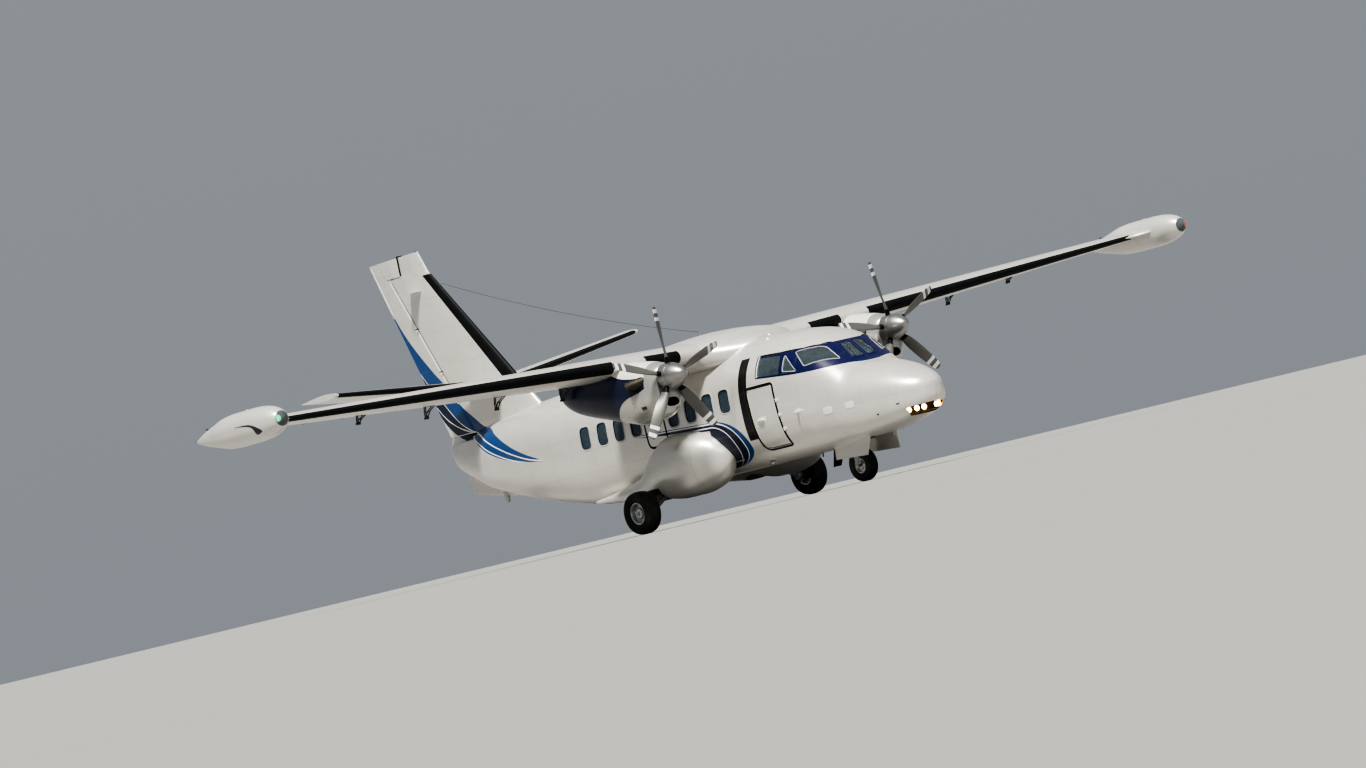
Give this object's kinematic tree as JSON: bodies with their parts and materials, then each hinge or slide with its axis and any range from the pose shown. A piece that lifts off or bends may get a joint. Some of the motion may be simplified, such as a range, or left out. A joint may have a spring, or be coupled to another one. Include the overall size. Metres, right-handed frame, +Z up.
{
  "type": "turboprop airliner",
  "caption": "High-wing turboprop commuter airliner parked on its landing gear, with turning propellers and wheels, steering, opening doors and moving control surfaces.",
  "frame": {"origin": "on the floor under the middle of the bounding box", "axes": "+X forward to the nose, +Y to port, +Z up"},
  "size_m": [14.424, 19.98, 5.829],
  "materials": {
    "white_paint": "gloss",
    "navy_paint": "gloss",
    "silver_paint": "satin",
    "blade_paint": "satin",
    "gear_steel": "satin",
    "rubber": "matte",
    "alloy": "satin",
    "floor_alloy": "matte",
    "glass": "gloss",
    "engine_metal": "matte",
    "seat_cloth": "matte",
    "panel_black": "matte"
  },
  "bodies": {
    "airframe": {"nose_section": "white_paint", "flight_deck_shell": "white_paint", "cabin_shell": "white_paint", "tail_cone": "white_paint", "wing_fairing": "white_paint", "fin": "white_paint", "wing_port": "white_paint", "tip_tank_port": "white_paint", "tailplane_port": "white_paint", "sponson_port": "white_paint", "nose_door_port": "white_paint", "wing_starboard": "white_paint", "tip_tank_starboard": "white_paint", "tailplane_starboard": "white_paint", "sponson_starboard": "white_paint", "nose_door_starboard": "white_paint", "nacelle_port": "navy_paint", "nacelle_starboard": "navy_paint", "windscreen_port": "glass", "quarter_window_port": "glass", "side_window_port": "glass", "windscreen_starboard": "glass", "quarter_window_starboard": "glass", "side_window_starboard": "glass", "main_leg_port": "gear_steel", "main_leg_starboard": "gear_steel", "nose_leg": "gear_steel", "engine_port": "engine_metal", "engine_starboard": "engine_metal", "pilot_seat_port": "seat_cloth", "pilot_seat_starboard": "seat_cloth", "instrument_panel": "panel_black", "cabin_floor": "floor_alloy"},
    "propeller_port_body": {"propeller_port": "blade_paint", "spinner_port": "silver_paint"},
    "main_wheel_port": {"main_tyre_port": "rubber", "main_rim_port": "alloy"},
    "flaps_port": {"flap_inner_port": "white_paint", "flap_outer_port": "white_paint"},
    "aileron_port_body": {"aileron_port": "white_paint"},
    "elevator_port_body": {"elevator_port": "white_paint"},
    "propeller_starboard_body": {"propeller_starboard": "blade_paint", "spinner_starboard": "silver_paint"},
    "main_wheel_starboard": {"main_tyre_starboard": "rubber", "main_rim_starboard": "alloy"},
    "flaps_starboard": {"flap_inner_starboard": "white_paint", "flap_outer_starboard": "white_paint"},
    "aileron_starboard_body": {"aileron_starboard": "white_paint"},
    "elevator_starboard_body": {"elevator_starboard": "white_paint"},
    "rudder_body": {"rudder": "white_paint"},
    "nose_steering_body": {"nose_fork": "gear_steel"},
    "nose_wheel": {"nose_tyre": "rubber", "nose_rim": "alloy"},
    "crew_door_body": {"crew_door": "white_paint"},
    "passenger_door_body": {"passenger_door": "white_paint"},
    "cargo_door_body": {"cargo_door": "white_paint"}
  },
  "joints": [
    {"name": "propeller_port_spin", "type": "hinge", "parent": "airframe", "child": "propeller_port_body", "pos_m": [3.696, 2.4075, 2.4], "axis": [1, 0, 0], "continuous": true},
    {"name": "main_wheel_port_spin", "type": "hinge", "parent": "airframe", "child": "main_wheel_port", "pos_m": [1.352, 1.825, 0.359], "axis": [0, 1, 0], "continuous": true},
    {"name": "propeller_starboard_spin", "type": "hinge", "parent": "airframe", "child": "propeller_starboard_body", "pos_m": [3.696, -2.4075, 2.4], "axis": [1, 0, 0], "continuous": true},
    {"name": "main_wheel_starboard_spin", "type": "hinge", "parent": "airframe", "child": "main_wheel_starboard", "pos_m": [1.352, -1.825, 0.359], "axis": [0, 1, 0], "continuous": true},
    {"name": "nose_steering", "type": "hinge", "parent": "airframe", "child": "nose_steering_body", "pos_m": [5.062, 0, 0.6], "axis": [0, 0, 1], "range_deg": [-50, 50]},
    {"name": "nose_wheel_spin", "type": "hinge", "parent": "nose_steering_body", "child": "nose_wheel", "pos_m": [5.022, 0, 0.274], "axis": [0, 1, 0], "continuous": true},
    {"name": "flaps_port_hinge", "type": "hinge", "parent": "airframe", "child": "flaps_port", "pos_m": [1.2574, 3.675, 2.8145], "axis": [-0.0666, -0.9964, -0.0521], "range_deg": [0, 42]},
    {"name": "flaps_starboard_hinge", "type": "hinge", "parent": "airframe", "child": "flaps_starboard", "pos_m": [1.2574, -3.675, 2.8145], "axis": [0.0666, -0.9964, 0.0521], "range_deg": [0, 42]},
    {"name": "aileron_port_hinge", "type": "hinge", "parent": "airframe", "child": "aileron_port_body", "pos_m": [1.5327, 7.795, 3.0299], "axis": [-0.0666, -0.9964, -0.0521], "range_deg": [-20, 20]},
    {"name": "aileron_starboard_hinge", "type": "hinge", "parent": "airframe", "child": "aileron_starboard_body", "pos_m": [1.5327, -7.795, 3.0299], "axis": [0.0666, -0.9964, 0.0521], "range_deg": [-20, 20]},
    {"name": "elevator_port_hinge", "type": "hinge", "parent": "airframe", "child": "elevator_port_body", "pos_m": [-4.9834, 1.775, 3.3812], "axis": [0.0002, -0.9925, -0.122], "range_deg": [-30, 14]},
    {"name": "elevator_starboard_hinge", "type": "hinge", "parent": "airframe", "child": "elevator_starboard_body", "pos_m": [-4.9834, -1.775, 3.3812], "axis": [-0.0002, -0.9925, 0.122], "range_deg": [-30, 14]},
    {"name": "rudder_hinge", "type": "hinge", "parent": "airframe", "child": "rudder_body", "pos_m": [-5.9595, 0, 4.1495], "axis": [-0.4522, 0, 0.8919], "range_deg": [-17, 17]},
    {"name": "crew_door_hinge", "type": "hinge", "parent": "airframe", "child": "crew_door_body", "pos_m": [4.4, -1.048, 1.38], "axis": [0, 0, 1], "range_deg": [0, 95]},
    {"name": "passenger_door_hinge", "type": "hinge", "parent": "airframe", "child": "passenger_door_body", "pos_m": [-1.238, 0.93, 2.262], "axis": [1, 0, 0], "range_deg": [0, 100]},
    {"name": "cargo_door_hinge", "type": "hinge", "parent": "airframe", "child": "cargo_door_body", "pos_m": [-0.608, 0.93, 2.262], "axis": [1, 0, 0], "range_deg": [0, 100]}
  ],
  "couplings": [
    {"joint": "flaps_starboard_hinge", "follows": "flaps_port_hinge", "ratio": 1},
    {"joint": "aileron_starboard_hinge", "follows": "aileron_port_hinge", "ratio": -1},
    {"joint": "elevator_starboard_hinge", "follows": "elevator_port_hinge", "ratio": 1}
  ]
}
